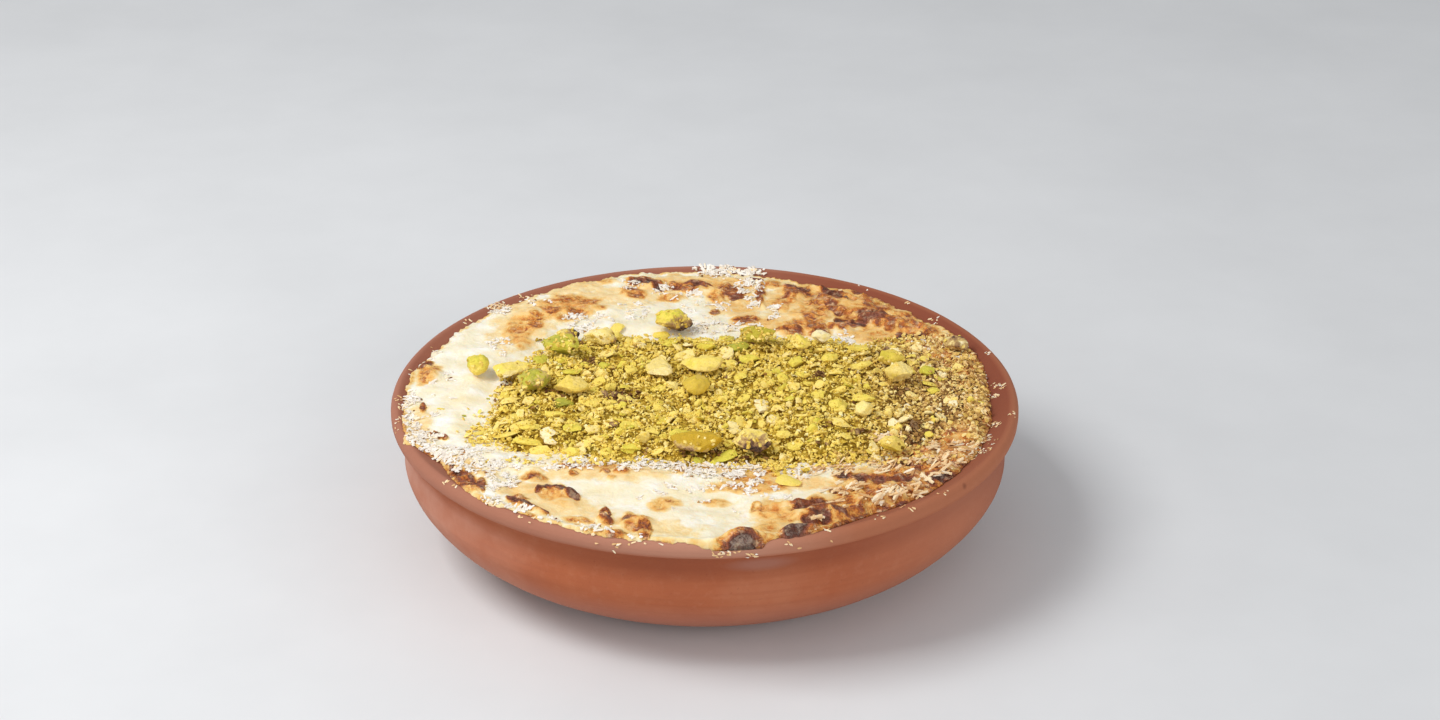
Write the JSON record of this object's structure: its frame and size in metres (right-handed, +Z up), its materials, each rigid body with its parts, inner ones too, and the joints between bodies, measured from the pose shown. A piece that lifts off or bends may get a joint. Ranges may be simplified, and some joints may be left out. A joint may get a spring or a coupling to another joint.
{
  "type": "dish of baked kunafa",
  "caption": "Round shallow terracotta dish filled to the rim with cream-topped baked kunafa, strewn with ground and chopped pistachio and coconut",
  "frame": {"origin": "middle of the dish's flat base, where it meets the table", "axes": "+Z up, -Y is the front that the picture shows, +X to the right as seen from the front"},
  "size_m": [0.2, 0.2, 0.0554],
  "materials": {
    "terracotta": "matt, unglazed",
    "baked_cream": "moist baked cream with browned spots; stands in for food",
    "ground_pistachio": "rough ground nut; stands in for food",
    "pistachio_kernel": "satin nut; stands in for food"
  },
  "bodies": {
    "root": {"dish": "terracotta", "filling": "baked_cream", "pistachio_heap": "ground_pistachio", "kernel_01": "pistachio_kernel", "kernel_02": "pistachio_kernel", "kernel_03": "pistachio_kernel", "kernel_04": "pistachio_kernel", "kernel_05": "pistachio_kernel", "kernel_06": "pistachio_kernel", "kernel_07": "pistachio_kernel", "kernel_08": "pistachio_kernel", "kernel_09": "pistachio_kernel", "kernel_10": "pistachio_kernel", "kernel_11": "pistachio_kernel", "kernel_12": "pistachio_kernel", "kernel_13": "pistachio_kernel", "kernel_14": "pistachio_kernel", "kernel_15": "pistachio_kernel", "kernel_16": "pistachio_kernel", "kernel_17": "pistachio_kernel", "kernel_18": "pistachio_kernel", "kernel_19": "pistachio_kernel", "kernel_20": "pistachio_kernel", "kernel_21": "pistachio_kernel"}
  },
  "joints": []
}
